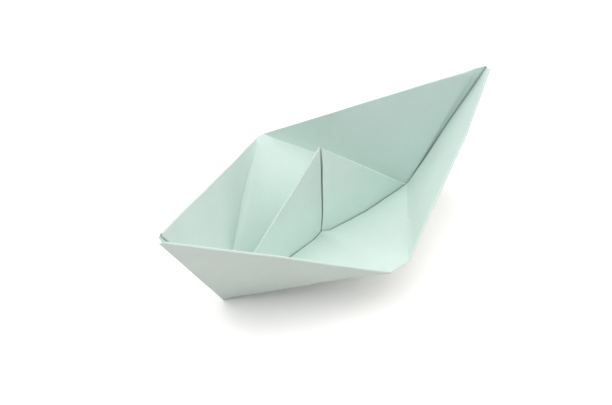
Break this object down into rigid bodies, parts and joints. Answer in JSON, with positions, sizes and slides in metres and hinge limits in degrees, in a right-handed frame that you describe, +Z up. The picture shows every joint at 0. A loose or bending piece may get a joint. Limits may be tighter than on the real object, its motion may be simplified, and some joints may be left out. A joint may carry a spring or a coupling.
{
  "type": "folded paper boat",
  "caption": "Folded mint-green paper boat with a pointed sail between two open cockpits, standing on its flat keel.",
  "frame": {"origin": "on the table, under the middle of the keel, midway between the two keel corners", "axes": "+X from the stern to the bow, +Z up"},
  "size_m": [0.1654, 0.0849, 0.0602],
  "materials": {
    "paper": "matte"
  },
  "bodies": {
    "root": {"folded_sheet": "paper"}
  },
  "joints": []
}
